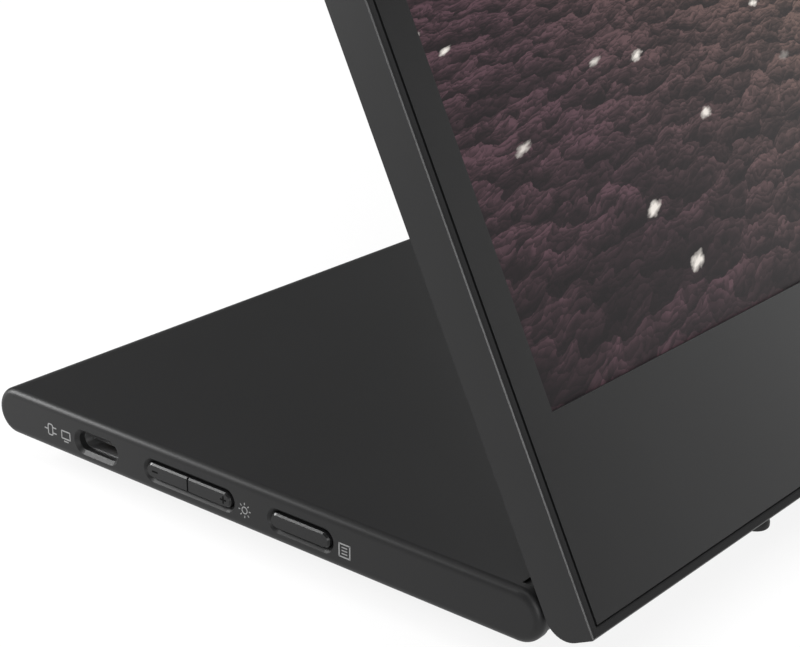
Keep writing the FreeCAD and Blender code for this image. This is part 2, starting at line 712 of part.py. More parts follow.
def screen():
    """The screen from front to back: bezel, tape, glass, films, light guide, reflector and pan."""
    screen_frame("front_bezel", "bezel_seam", "bezel_window", BEZEL_BACK, BEZEL_FRONT)
    screen_frame("bezel_tape", "bezel_seam", "tape_setback", CELL_FRONT, BEZEL_BACK)
    layer("lcd_cell", "cell_margin", CELL_BACK, CELL_FRONT)
    layer("film_stack", "guide_margin", FILM_BACK, CELL_BACK)
    layer("light_guide", "guide_margin", GUIDE_BACK, FILM_BACK)
    layer("reflector_sheet", "guide_margin", REFLECTOR_BACK, GUIDE_BACK)
    pan = layer("panel_pan", "cell_margin", PAN_BACK, CELL_BACK)
    window(pan, "cell_margin - pan_wall", REFLECTOR_BACK, f"{CELL_BACK} + overrun")
    led_high = f"{ACTIVE_LOW} - guide_margin - led_slack"
    plate("led_strip", on_display, across(ACTIVE_HALF_WIDTH), deep(GUIDE_BACK, FILM_BACK),
          (f"{led_high} - led_height", led_high))


def display_board():
    """The screen's drive board in the chin, with its screws and its flat cable to the hinge."""
    body = plate("tcon_board", on_display, across("tcon_length / 2"), deep(TCON_BACK, TCON_FRONT),
                 ("tcon_low", "tcon_low + tcon_height"))
    for spot in TCON_SPOTS:
        rod(body, "Subtractive", "y", "screw_radius + screw_slack", spot,
            deep(f"{TCON_BACK} - overrun", f"{TCON_FRONT} + overrun"))
    plate("display_cable", on_display, DISPLAY_RIBBON_X, deep(TCON_FRONT, f"{TCON_FRONT} + ribbon_thickness"),
          ("tcon_low - display_ribbon_drop", "tcon_low + ribbon_lap"))


# The assembly

base_top_cover()
base_bottom_cover()
plate("ballast_plate", on_base, across("ballast_length / 2"),
      (f"{CAVITY_FRONT} + ballast_margin", f"{CAVITY_REAR} - ballast_margin"),
      ("bottom_wall", "bottom_wall + ballast_thickness"))
board("main_board", MAIN_BOARD_X, MAIN_BOARD_SPOTS)
board("right_io_board", RIGHT_BOARD_X, RIGHT_BOARD_SPOTS)
main_chip()
base_ribbons()
lock_insert()
screws("base_screws", on_base, "z", POSTS, ("0", "screw_head_height"), "bottom_wall + screw_bite")
screws("board_screws", on_base, "z", MAIN_BOARD_SPOTS + RIGHT_BOARD_SPOTS,
       (f"{BOARD_LOW} - screw_head_height", BOARD_LOW), f"{BOARD_TOP} + board_bite")
screws("hinge_screws", on_base, "z", LEAF_SPOTS["left"] + LEAF_SPOTS["right"],
       ("leaf_low - screw_head_height", "leaf_low"), f"{LEAF_TOP} + leaf_bite")
for side, sign in SIGNS.items():
    usb_socket(side)
    hinge_knuckle(side, sign)
    hinge_bush(side, sign)
    hinge_pin(side, sign)
    foot(f"front_foot_{side}", f"{sign} * {KNUCKLE_X}", f"{HINGE_Y} - front_foot_reach")
    foot(f"rear_foot_{side}", f"{sign} * {KNUCKLE_X}", REAR_FEET_Y)
FRONT_HALF = ("brightness_place - brightness_length", "brightness_place + key_split / 2")
REAR_HALF = ("brightness_place - key_split / 2", "brightness_place + brightness_length")
key("brightness_down_key", "left", "brightness_place", "brightness_length", FRONT_HALF)
key("brightness_up_key", "left", "brightness_place", "brightness_length", REAR_HALF)
key("menu_key", "left", "menu_place", "menu_length", None)
key("power_key", "right", "power_place", "menu_length", None)
switch("switch_brightness_down", "left", "brightness_place + brightness_length / 4")
switch("switch_brightness_up", "left", "brightness_place - brightness_length / 4")
switch("switch_menu", "left", "menu_place")
switch("switch_power", "right", "power_place")
display_rear_cover()
screen()
display_board()
screws("tcon_screws", on_display, "y", TCON_SPOTS, deep(TCON_FRONT, f"{TCON_FRONT} + screw_head_height"),
       f"-({FLOOR} - tcon_bite)")

DOC.recompute()
failed = [item.Label for item in DOC.Objects if {"Invalid", "Error"} & set(item.State)]
if failed:
    raise RuntimeError("features that failed: " + ", ".join(failed))
for node in NODES:
    if node.Shape.isNull() or not node.Shape.isValid():
        raise RuntimeError("no valid solid: " + node.Label)

os.makedirs("parts", exist_ok=True)
for node in NODES:
    node.Shape.exportStep(f"parts/{node.Label}.step")
    print(f"{node.Label}: {len(node.Shape.Solids)} solids, {node.Shape.Volume:.1f} mm3")
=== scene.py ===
import json
from math import atan2, cos, pi, radians, sin

import bmesh
import bpy
from mathutils import Matrix, Vector


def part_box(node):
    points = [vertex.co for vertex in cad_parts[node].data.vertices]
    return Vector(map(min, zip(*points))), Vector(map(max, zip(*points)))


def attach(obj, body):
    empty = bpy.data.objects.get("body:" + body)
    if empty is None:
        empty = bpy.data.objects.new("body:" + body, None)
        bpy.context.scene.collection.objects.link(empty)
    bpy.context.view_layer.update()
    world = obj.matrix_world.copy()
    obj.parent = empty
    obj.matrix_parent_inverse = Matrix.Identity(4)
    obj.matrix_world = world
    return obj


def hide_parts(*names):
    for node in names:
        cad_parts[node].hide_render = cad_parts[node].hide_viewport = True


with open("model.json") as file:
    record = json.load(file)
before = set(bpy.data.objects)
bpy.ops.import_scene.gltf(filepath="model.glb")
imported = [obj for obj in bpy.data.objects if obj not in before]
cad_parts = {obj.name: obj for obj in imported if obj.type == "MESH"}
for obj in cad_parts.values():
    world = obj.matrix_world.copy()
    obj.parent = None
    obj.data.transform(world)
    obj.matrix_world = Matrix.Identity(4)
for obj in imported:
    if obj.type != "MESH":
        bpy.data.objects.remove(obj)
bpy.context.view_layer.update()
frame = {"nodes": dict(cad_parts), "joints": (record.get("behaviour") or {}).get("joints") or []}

# Base top cover
# Injection-moulded shell in charcoal ABS that carries the boards, the keys and the hinge. Its fine
# spark-eroded texture breaks up a little in broad patches, and handling leaves faint smoother smudges.

MM = 0.001
BASE_COLOUR = (0.0118, 0.0118, 0.0121)
GRAIN_PER_METRE = 5200.0
GRAIN_DEPTH = 0.012 * MM
PATCHES_PER_METRE = 46.0
SMUDGES_PER_METRE = 17.0
NODES = frame["nodes"]


def new_material(name):
    """A material with an empty tree, its shader and its output, and the piece's own coordinates."""
    material = bpy.data.materials.new(name)
    material.use_nodes = True
    tree = material.node_tree
    tree.nodes.clear()
    shader = tree.nodes.new("ShaderNodeBsdfPrincipled")
    output = tree.nodes.new("ShaderNodeOutputMaterial")
    place = tree.nodes.new("ShaderNodeTexCoord")
    tree.links.new(shader.outputs["BSDF"], output.inputs["Surface"])
    return material, tree, shader, place


def noise(tree, vector, scale, detail, rough=0.5, dimensions="3D"):
    """The value of a noise texture at a place, or along one number."""
    texture = tree.nodes.new("ShaderNodeTexNoise")
    texture.noise_dimensions = dimensions
    texture.inputs["Scale"].default_value = scale
    texture.inputs["Detail"].default_value = detail
    texture.inputs["Roughness"].default_value = rough
    tree.links.new(vector, texture.inputs["W" if dimensions == "1D" else "Vector"])
    return texture.outputs["Fac"]


def spread(tree, value, low, high, from_low=0.3, from_high=0.7):
    """A value spread over a range; noise lies mostly between 0.3 and 0.7."""
    remap = tree.nodes.new("ShaderNodeMapRange")
    tree.links.new(value, remap.inputs["Value"])
    remap.inputs["From Min"].default_value = from_low
    remap.inputs["From Max"].default_value = from_high
    remap.inputs["To Min"].default_value = low
    remap.inputs["To Max"].default_value = high
    return remap.outputs["Result"]


def combined(tree, kind, first, second):
    """Two values put together by a Math node; either may be a number."""
    node = tree.nodes.new("ShaderNodeMath")
    node.operation = kind
    for socket, value in zip(node.inputs, (first, second)):
        if isinstance(value, (int, float)):
            socket.default_value = value
        else:
            tree.links.new(value, socket)
    return node.outputs["Value"]


def tint(tree, colour, value):
    """A colour made lighter and darker by a value around 1."""
    scale = tree.nodes.new("ShaderNodeVectorMath")
    scale.operation = "SCALE"
    scale.inputs[0].default_value = colour
    tree.links.new(value, scale.inputs["Scale"])
    return scale.outputs["Vector"]


def bump(tree, shader, height, distance, strength):
    """Fine relief from a value."""
    node = tree.nodes.new("ShaderNodeBump")
    node.inputs["Distance"].default_value = distance
    node.inputs["Strength"].default_value = strength
    tree.links.new(height, node.inputs["Height"])
    tree.links.new(node.outputs["Normal"], shader.inputs["Normal"])


def moulded_plastic(name, colour, roughness, gloss=0.5, grain=GRAIN_PER_METRE, relief=0.35):
    """Matt moulded plastic: spark-eroded grain, patchy texture and faint smudges."""
    material, tree, shader, place = new_material(name)
    fine = noise(tree, place.outputs["Object"], grain, detail=2.0)
    patch = noise(tree, place.outputs["Object"], PATCHES_PER_METRE, detail=4.0)
    smudge = noise(tree, place.outputs["Object"], SMUDGES_PER_METRE, detail=3.0, rough=0.6)
    shade = combined(tree, "MULTIPLY", spread(tree, fine, low=0.86, high=1.14),
                     spread(tree, patch, low=0.95, high=1.05))
    tree.links.new(tint(tree, colour, shade), shader.inputs["Base Color"])
    worn = combined(tree, "ADD", spread(tree, smudge, low=-0.035, high=0.03),
                    spread(tree, fine, low=-0.04, high=0.04))
    tree.links.new(combined(tree, "ADD", roughness, worn), shader.inputs["Roughness"])
    shader.inputs["Specular IOR Level"].default_value = gloss
    bump(tree, shader, fine, GRAIN_DEPTH, relief)
    return material


def dress(material, *names):
    """Gives CAD pieces their finish."""
    for name in names:
        NODES[name].data.materials.clear()
        NODES[name].data.materials.append(material)


BASE_CASING = moulded_plastic("charcoal_base", BASE_COLOUR, roughness=0.45, gloss=0.22)
dress(BASE_CASING, "base_top_cover")

# Hinge
# Black-oxide steel knuckles, with leaves that are screwed up under the base's roof, hold bushes of
# sintered bronze. Pins of the same steel in the display's barrel turn in the bushes with friction.

LINES_PER_METRE = 4200.0
LINE_DEPTH = 0.004 * MM
CLOUDS_PER_METRE = 160.0


def plated_metal(name, colour, roughness, brushed):
    """Metal with a cloudy surface and fine lines, which are drawn out along X where brushed is under 1."""
    material, tree, shader, place = new_material(name)
    stretch = tree.nodes.new("ShaderNodeMapping")
    stretch.inputs["Scale"].default_value = (brushed, 1.0, 1.0)
    tree.links.new(place.outputs["Object"], stretch.inputs["Vector"])
    lines = noise(tree, stretch.outputs["Vector"], LINES_PER_METRE, detail=3.0)
    cloud = noise(tree, place.outputs["Object"], CLOUDS_PER_METRE, detail=4.0)
    shade = combined(tree, "MULTIPLY", spread(tree, lines, low=0.85, high=1.12),
                     spread(tree, cloud, low=0.92, high=1.06))
    tree.links.new(tint(tree, colour, shade), shader.inputs["Base Color"])
    worn = spread(tree, lines, low=roughness - 0.06, high=roughness + 0.08)
    tree.links.new(worn, shader.inputs["Roughness"])
    shader.inputs["Metallic"].default_value = 1.0
    bump(tree, shader, lines, LINE_DEPTH, strength=0.4)
    return material


OXIDE_STEEL = plated_metal("oxide_steel", colour=(0.055, 0.055, 0.06), roughness=0.46, brushed=0.05)
BRONZE = plated_metal("sintered_bronze", colour=(0.5, 0.34, 0.15), roughness=0.45, brushed=1.0)
dress(OXIDE_STEEL, "hinge_knuckle_left", "hinge_knuckle_right", "hinge_pin_left", "hinge_pin_right")
dress(BRONZE, "hinge_bush_left", "hinge_bush_right")

# Boards, chip and switches
# Glass-fibre boards with a green mask, screwed up under the base's roof and into the display's chin.
# The picture chip and the push switches behind the keys have moulded black bodies.

BOARD_GRAIN_PER_METRE = 900.0
BOARD = moulded_plastic("green_board", colour=(0.012, 0.07, 0.03), roughness=0.35,
                        grain=BOARD_GRAIN_PER_METRE)
BLACK_MOULDING = moulded_plastic("black_moulding", colour=(0.015, 0.015, 0.015), roughness=0.5)
dress(BOARD, "main_board", "right_io_board", "tcon_board")
dress(BLACK_MOULDING, "scaler_chip", "switch_brightness_down", "switch_brightness_up", "switch_menu",
      "switch_power")

# USB-C sockets
# Deep-drawn nickel-plated shells with a moulded tongue, one on each board in the base. Gilt contacts
# lie on both faces of the tongue, at the standard pitch.

COARSE_GRAIN_PER_METRE = 2600.0
CONTACTS = 12
CONTACT_PITCH = 0.5 * MM
CONTACT_WIDTH = 0.26 * MM
CONTACT_LENGTH = 3.4 * MM
CONTACT_LIFT = 0.02 * MM
CONTACT_SETBACK = 0.7 * MM


def add_box(bm, low, high):
    """A closed box between two corners."""
    size = high - low
    middle = (high + low) / 2
    bmesh.ops.create_cube(bm, size=1.0, matrix=Matrix.Translation(middle) @ Matrix.Diagonal((*size, 1.0)))


def mesh_from(bm, name):
    """Turns a finished bmesh into a mesh with its faces outwards."""
    mesh = bpy.data.meshes.new(name)
    bmesh.ops.recalc_face_normals(bm, faces=bm.faces)
    bm.to_mesh(mesh)
    bm.free()
    return mesh


def new_piece(name, mesh, material, body):
    """A piece of its own that moves with a body and has a finish."""
    piece = bpy.data.objects.new(name, mesh)
    bpy.context.scene.collection.objects.link(piece)
    piece.data.materials.append(material)
    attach(piece, body)
    return piece


DARK_NICKEL = plated_metal("dark_nickel", colour=(0.4, 0.4, 0.405), roughness=0.48, brushed=0.1)
TONGUE_PLASTIC = moulded_plastic("tongue_plastic", colour=(0.016, 0.016, 0.016), roughness=0.5,
                                 grain=COARSE_GRAIN_PER_METRE)
GILT = plated_metal("gilt_contact", colour=(0.83, 0.6, 0.28), roughness=0.25, brushed=0.1)
dress(DARK_NICKEL, "usb_c_shell_left", "usb_c_shell_right")
dress(TONGUE_PLASTIC, "usb_c_tongue_left", "usb_c_tongue_right")
for side in ("left", "right"):
    low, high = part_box(f"usb_c_tongue_{side}")
    bm = bmesh.new()
    start = low.x + CONTACT_SETBACK if side == "left" else high.x - CONTACT_SETBACK - CONTACT_LENGTH
    for n in range(CONTACTS):
        middle = (low.y + high.y) / 2 + (n - (CONTACTS - 1) / 2) * CONTACT_PITCH
        for face, out in ((high.z, 1), (low.z, -1)):
            levels = sorted((face, face + out * CONTACT_LIFT))
            add_box(bm, Vector((start, middle - CONTACT_WIDTH / 2, levels[0])),
                    Vector((start + CONTACT_LENGTH, middle + CONTACT_WIDTH / 2, levels[1])))
    new_piece(f"usb_c_contacts_{side}", mesh_from(bm, f"usb_c_contacts_{side}"), GILT, "base")

# Keys
# Pill-shaped moulded caps that slide in the side walls, smoother than the casing, with a softened face
# edge. A laser has marked minus and plus on the ends of the brightness keys, dark and slightly raised.

KEY_COLOUR = (0.0102, 0.0102, 0.0105)
MARK_COLOUR = (0.003, 0.003, 0.003)
MARK_LIFT = 0.02 * MM
MARK_ARM = 1.15 * MM
MARK_WIDTH = 0.26 * MM
MINUS_INSET = 2.4 * MM
PLUS_INSET = 2.0 * MM
KEY_PLASTIC = moulded_plastic("key_plastic", KEY_COLOUR, roughness=0.22, gloss=0.24, relief=0.04)
LASER_MARK = moulded_plastic("laser_mark", MARK_COLOUR, roughness=0.85, gloss=0.08)
dress(KEY_PLASTIC, "brightness_down_key", "brightness_up_key", "menu_key", "power_key")


def key_mark(name, key, along, arms):
    """A mark on a key's face: one or two crossed arms."""
    low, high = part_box(key)
    height = (low.z + high.z) / 2
    half = MARK_ARM / 2
    thin = MARK_WIDTH / 2
    boxes = [(-half, half, -thin, thin)]
    if arms == 2:
        boxes += [(-thin, thin, thin, half), (-thin, thin, -half, -thin)]
    bm = bmesh.new()
    for y_low, y_high, z_low, z_high in boxes:
        add_box(bm, Vector((low.x - MARK_LIFT, along + y_low, height + z_low)),
                Vector((low.x, along + y_high, height + z_high)))
    new_piece(name, mesh_from(bm, name), LASER_MARK, key)


key_mark("minus_mark", "brightness_down_key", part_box("brightness_down_key")[1].y - MINUS_INSET, arms=1)
key_mark("plus_mark", "brightness_up_key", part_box("brightness_up_key")[0].y + PLUS_INSET, arms=2)

# Printed signs on the left side face
# Pad-printed in pale grey ink: a plug and a screen for the socket, a sun for brightness and a list
# for the menu. The ink stands between one and two hundredths of a millimetre proud.

INK_COLOUR = (0.23, 0.23, 0.23)
INK_LIFT = 0.015 * MM
INK_SPECKLES_PER_METRE = 6500.0
INK_RELIEF = 0.006 * MM
STROKE = 0.21 * MM
FINE_STROKE = 0.17 * MM
LEAST_MITRE_SHARE = 0.2
WELD = 0.001 * MM
SIGN_DROP = 0.4 * MM
SOCKET_SIGN_DROP = 0.1 * MM
SIDE_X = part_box("base_top_cover")[0].x
KEY_LEVEL = (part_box("menu_key")[0].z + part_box("menu_key")[1].z) / 2
SOCKET_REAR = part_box("usb_c_shell_left")[1].y


def printed_ink(name, colour):
    """Dull ink, a little uneven from the printing pad."""
    material, tree, shader, place = new_material(name)
    speckle = noise(tree, place.outputs["Object"], INK_SPECKLES_PER_METRE, detail=3.0)
    shade = spread(tree, speckle, low=0.8, high=1.1)
    tree.links.new(tint(tree, colour, shade), shader.inputs["Base Color"])
    tree.links.new(spread(tree, speckle, low=0.5, high=0.7), shader.inputs["Roughness"])
    bump(tree, shader, speckle, INK_RELIEF, strength=0.4)
    return material


def ring(points, width):
    """Four-sided patches between a closed outline and the same outline drawn in by a width."""
    count = len(points)
    inner = []
    for n in range(count):
        before = (points[n] - points[n - 1]).normalized()
        after = (points[(n + 1) % count] - points[n]).normalized()
        inward = Vector((-before.y - after.y, before.x + after.x)).normalized()
        mitre = width / max(LEAST_MITRE_SHARE, inward.dot(Vector((-before.y, before.x))))
        inner.append(points[n] + inward * mitre)
    return [(points[n], points[(n + 1) % count], inner[(n + 1) % count], inner[n]) for n in range(count)]


def bar(start, end, width):
    """One straight stroke."""
    across = (end - start).normalized() * width / 2
    side = Vector((-across.y, across.x))
    return [(start - side, end - side, end + side, start + side)]


def rounded_outline(half_width, half_height, radius, steps):
    """A rectangle with round corners, counter-clockwise."""
    points = []
    for corner, (x, y) in enumerate(((1, 1), (-1, 1), (-1, -1), (1, -1))):
        middle = Vector((x * (half_width - radius), y * (half_height - radius)))
        for step in range(steps + 1):
            angle = pi / 2 * (corner + step / steps)
            points.append(middle + radius * Vector((cos(angle), sin(angle))))
    return points


def on_circle(n, count):
    """The way from a circle's middle to the nth of its evenly spaced points."""
    return Vector((cos(2 * pi * n / count), sin(2 * pi * n / count)))


def printed_sign(name, patches, y, z):
    """Raises flat patches, drawn as seen from the left, off the side face as ink."""
    bm = bmesh.new()
    for patch in patches:
        corners = [bm.verts.new((SIDE_X, y - point.x, z + point.y)) for point in patch]
        bm.faces.new(corners)
    bmesh.ops.remove_doubles(bm, verts=bm.verts, dist=WELD)
    raised = bmesh.ops.extrude_face_region(bm, geom=bm.faces[:])
    lifted = [item for item in raised["geom"] if isinstance(item, bmesh.types.BMVert)]
    bmesh.ops.translate(bm, verts=lifted, vec=(-INK_LIFT, 0, 0))
    new_piece(name, mesh_from(bm, name), PALE_INK, "base")


PALE_INK = printed_ink("pale_ink", INK_COLOUR)

PLUG_BODY = Vector((0.62, 0.98)) * MM
PLUG_CORNER = 0.4 * MM
PLUG_TAIL = 0.75 * MM
PLUG_PRONG = 0.75 * MM
PLUG_PRONG_RISE = 0.45 * MM
PLUG_SIGN_OFFSET = 5.9 * MM
plug = ring(rounded_outline(PLUG_BODY.x, PLUG_BODY.y, PLUG_CORNER, steps=6), STROKE)
plug += bar(Vector((-PLUG_BODY.x - PLUG_TAIL, 0)), Vector((-PLUG_BODY.x, 0)), STROKE)
for rise in (-PLUG_PRONG_RISE, PLUG_PRONG_RISE):
    plug += bar(Vector((PLUG_BODY.x, rise)), Vector((PLUG_BODY.x + PLUG_PRONG, rise)), STROKE)
printed_sign("plug_sign", plug, SOCKET_REAR + PLUG_SIGN_OFFSET, KEY_LEVEL - SOCKET_SIGN_DROP)

SCREEN_SIGN = Vector((1.05, 0.72)) * MM
SCREEN_SIGN_CORNER = 0.15 * MM
SCREEN_SIGN_FOOT = Vector((0.5, -1.05)) * MM
SCREEN_SIGN_OFFSET = 2.35 * MM
screen_sign = ring(rounded_outline(SCREEN_SIGN.x, SCREEN_SIGN.y, SCREEN_SIGN_CORNER, steps=3), STROKE)
screen_sign += bar(Vector((-SCREEN_SIGN_FOOT.x, SCREEN_SIGN_FOOT.y)), SCREEN_SIGN_FOOT, STROKE)
printed_sign("screen_sign", screen_sign, SOCKET_REAR + SCREEN_SIGN_OFFSET, KEY_LEVEL - SOCKET_SIGN_DROP)

SUN_RADIUS = 0.58 * MM
SUN_STEPS = 32
SUN_RAYS = 8
RAY_START = 0.82 * MM
RAY_END = 1.16 * MM
KEY_SIGN_OFFSET = 2.0 * MM
sun = ring([SUN_RADIUS * on_circle(n, SUN_STEPS) for n in range(SUN_STEPS)], FINE_STROKE)
for n in range(SUN_RAYS):
    way = on_circle(n, SUN_RAYS)
    sun += bar(way * RAY_START, way * RAY_END, FINE_STROKE)
printed_sign("sun_sign", sun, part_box("brightness_up_key")[0].y - KEY_SIGN_OFFSET, KEY_LEVEL - SIGN_DROP)

LIST_HALF = 1.05 * MM
LIST_CORNER = 0.02 * MM
LIST_LINE = 0.5 * MM
LIST_RISE = 0.46 * MM
menu_list = ring(rounded_outline(LIST_HALF, LIST_HALF, LIST_CORNER, steps=1), STROKE)
for row in (-1, 0, 1):
    menu_list += bar(Vector((-LIST_LINE, row * LIST_RISE)), Vector((LIST_LINE, row * LIST_RISE)), FINE_STROKE)
printed_sign("list_sign", menu_list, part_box("menu_key")[0].y - KEY_SIGN_OFFSET, KEY_LEVEL - SIGN_DROP)

# Flat cables
# Copper strips laminated in white plastic film. One joins the boards in the base, and one runs to the
# hinge from each side: from the main board and from the screen's drive board.

FILM_GRAIN_PER_METRE = 1500.0
WHITE_FILM = moulded_plastic("white_film", colour=(0.8, 0.8, 0.8), roughness=0.45, grain=FILM_GRAIN_PER_METRE)
dress(WHITE_FILM, "io_cable", "base_cable", "display_cable")

# Ballast plate, lock plate and chip can
# Rolled steel sheet, cut to shape and, for the can, bent up. The ballast lies on the bottom cover and
# keeps the stand from tipping, the lock plate backs the lock slot, and the can shields the chip.

SHEET_STEEL = plated_metal("sheet_steel", colour=(0.5, 0.51, 0.52), roughness=0.35, brushed=0.08)
dress(SHEET_STEEL, "ballast_plate", "lock_insert", "shield_can")

# Base bottom cover
# Flat moulded plate of the same plastic as the shell, with a coarser grain. It is dropped into the
# shell from below and held by six screws.

UNDERSIDE_COLOUR = (0.0095, 0.0095, 0.0098)
UNDERSIDE = moulded_plastic("charcoal_underside", UNDERSIDE_COLOUR, roughness=0.55, gloss=0.37,
                            grain=COARSE_GRAIN_PER_METRE)
dress(UNDERSIDE, "base_bottom_cover")

# Screws
# Small black-zinc machine screws with flat heads, turned and rolled, for the bottom cover, the boards
# and the hinge leaves. Those in the bottom cover show, so they have cross recesses.

HEAD_HEIGHT = 0.6 * MM
HEAD_BEVEL = 0.12 * MM
SHANK_RADIUS = 0.7 * MM
RECESS_REACH = 0.85 * MM
RECESS_HALF_WIDTH = 0.2 * MM
RECESS_DEPTH = 0.4 * MM
RECESS_CORNER = atan2(RECESS_HALF_WIDTH, RECESS_REACH)
QUARTER = (0.0, RECESS_CORNER, pi / 8, pi / 4, 3 * pi / 8, pi / 2 - RECESS_CORNER)
ANGLES = [turn * pi / 2 + angle for turn in range(4) for angle in QUARTER]
NEVER_ZERO = 1e-9


def islands(node):
    """The lowest and highest corner of each separate solid in a node."""
    bm = bmesh.new()
    bm.from_mesh(NODES[node].data)
    bmesh.ops.remove_doubles(bm, verts=bm.verts, dist=WELD)
    left = set(bm.verts)
    boxes = []
    while left:
        reached = [left.pop()]
        points = []
        while reached:
            vertex = reached.pop()
            points.append(vertex.co.copy())
            for edge in vertex.link_edges:
                other = edge.other_vert(vertex)
                if other in left:
                    left.remove(other)
                    reached.append(other)
        low = Vector(min(point[axis] for point in points) for axis in range(3))
        high = Vector(max(point[axis] for point in points) for axis in range(3))
        boxes.append((low, high))
    bm.free()
    return boxes


def cross_radius(angle):
    """How far the cross-shaped recess reaches from its middle at an angle."""
    along = abs(cos(angle)) + NEVER_ZERO
    aside = abs(sin(angle)) + NEVER_ZERO
    return max(min(RECESS_REACH / along, RECESS_HALF_WIDTH / aside),
               min(RECESS_HALF_WIDTH / along, RECESS_REACH / aside))


def add_rings(bm, rings):
    """Closed skin through rings of points, with a cap on the first and the last."""
    loops = [[bm.verts.new(point) for point in points] for points in rings]
    for lower, upper in zip(loops, loops[1:]):
        for n in range(len(lower)):
            after = (n + 1) % len(lower)
            bm.faces.new((lower[n], lower[after], upper[after], upper[n]))
    bm.faces.new(loops[0])
    bm.faces.new(loops[-1])


def cross_screw(bm, low, high):
    """A flat-head screw that points up, with a cross cut into the underside of its head."""
    middle = (low + high) / 2
    head = (high.x - low.x) / 2

    def level(reaches, z):
        return [Vector((middle.x + r * cos(a), middle.y + r * sin(a), z)) for a, r in zip(ANGLES, reaches)]

    def circle(radius, z):
        return level([radius] * len(ANGLES), z)

    cross = [cross_radius(angle) for angle in ANGLES]
    add_rings(bm, [level(cross, low.z + RECESS_DEPTH), level(cross, low.z),
                   circle(head - HEAD_BEVEL, low.z), circle(head, low.z + HEAD_BEVEL),
                   circle(head, low.z + HEAD_HEIGHT), circle(SHANK_RADIUS, low.z + HEAD_HEIGHT),
                   circle(SHANK_RADIUS, high.z)])


BLACK_ZINC = plated_metal("black_zinc", colour=(0.07, 0.07, 0.075), roughness=0.42, brushed=1.0)
dress(BLACK_ZINC, "base_screws", "board_screws", "hinge_screws", "tcon_screws")
bm = bmesh.new()
for low, high in islands("base_screws"):
    cross_screw(bm, low, high)
screws = new_piece("base_cross_screws", mesh_from(bm, "base_cross_screws"), BLACK_ZINC, "base")
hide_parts("base_screws")

# Feet
# Black rubber plugs, moulded with a flat tread and pushed into holes in the knuckles and the bottom
# cover. The rubber is dull, with a faint bloom here and there.

RUBBER_GRAIN_PER_METRE = 3200.0
RUBBER_GRAIN_DEPTH = 0.02 * MM
BLOOM_PER_METRE = 420.0
RUBBER_GLOSS = 0.25


def rubber(name, colour):
    """Dull rubber or foam with a fine grain and a cloudy bloom."""
    material, tree, shader, place = new_material(name)
    fine = noise(tree, place.outputs["Object"], RUBBER_GRAIN_PER_METRE, detail=3.0)
    bloom = noise(tree, place.outputs["Object"], BLOOM_PER_METRE, detail=4.0)
    shade = spread(tree, bloom, low=0.85, high=1.25)
    tree.links.new(tint(tree, colour, shade), shader.inputs["Base Color"])
    tree.links.new(spread(tree, fine, low=0.45, high=0.62), shader.inputs["Roughness"])
    shader.inputs["Specular IOR Level"].default_value = RUBBER_GLOSS
    bump(tree, shader, fine, RUBBER_GRAIN_DEPTH, strength=0.5)
    return material


FOOT_RUBBER = rubber("foot_rubber", colour=(0.012, 0.012, 0.012))
dress(FOOT_RUBBER, "front_foot_left", "front_foot_right", "rear_foot_left", "rear_foot_right")

# Display rear cover
# Charcoal moulding like the base, a touch glossier, in one piece with the hinge barrel. Handling has
# rubbed the outer edge of its rim smooth, while the chamfer in front of that edge is still dull.

DISPLAY_COLOUR = (0.0100, 0.0100, 0.0103)
LEAN = radians(26.2)
UP_DISPLAY = Vector((0, sin(LEAN), cos(LEAN)))
TO_VIEWER = Vector((0, -cos(LEAN), sin(LEAN)))
display_hinge = next(joint for joint in frame["joints"] if joint["name"] == "display_hinge")
HINGE = Vector(display_hinge["pos_m"])
RIM_CHAMFER = 0.35 * MM
RUBBED_WIDTH = 0.14 * MM
RUBBED_FADE = 0.03 * MM
RUBBED_POLISH = 0.08
CHAMFER_DULLNESS = 0.5


def display_extent(node, way):
    """How far a node's points lie along the display's height or depth from the hinge axis."""
    return [(vertex.co - HINGE).dot(way) for vertex in NODES[node].data.vertices]


def rubbed_edge(material, node):
    """Polishes the outer edge of a node's front rim and dulls the chamfer in front of it."""
    tree = material.node_tree
    roughness = tree.nodes["Principled BSDF"].inputs["Roughness"]
    as_moulded = roughness.links[0].from_socket
    place = tree.nodes.new("ShaderNodeTexCoord")
    depth = tree.nodes.new("ShaderNodeVectorMath")
    depth.operation = "DOT_PRODUCT"
    tree.links.new(place.outputs["Object"], depth.inputs[0])
    depth.inputs[1].default_value = TO_VIEWER
    edge = max(display_extent(node, TO_VIEWER)) + HINGE.dot(TO_VIEWER) - RIM_CHAMFER
    inner = edge + RUBBED_WIDTH
    polish = spread(tree, depth.outputs["Value"], low=0.0, high=-RUBBED_POLISH,
                    from_low=edge - RUBBED_FADE, from_high=edge)
    dull = spread(tree, depth.outputs["Value"], low=0.0, high=RUBBED_POLISH + CHAMFER_DULLNESS,
                  from_low=inner, from_high=inner + RUBBED_FADE)
    worn = combined(tree, "ADD", as_moulded, combined(tree, "ADD", polish, dull))
    tree.links.new(worn, roughness)


DISPLAY_CASING = moulded_plastic("charcoal_display", DISPLAY_COLOUR, roughness=0.42, gloss=0.30)
rubbed_edge(DISPLAY_CASING, "display_rear_cover")
dress(DISPLAY_CASING, "display_rear_cover")

# The screen's light layers
# Clear films and a light guide, cut from plastic sheet, with a white reflector behind them and a strip
# of small lamps along one edge. A pan pressed from aluminium sheet holds the stack.

SHEET_ALUMINIUM = plated_metal("sheet_aluminium", colour=(0.7, 0.71, 0.72), roughness=0.32, brushed=0.05)
CLEAR_FILM = moulded_plastic("clear_film", colour=(0.7, 0.74, 0.78), roughness=0.2,
                             grain=FILM_GRAIN_PER_METRE)
dress(SHEET_ALUMINIUM, "panel_pan")
dress(WHITE_FILM, "reflector_sheet", "led_strip")
dress(CLEAR_FILM, "film_stack", "light_guide")

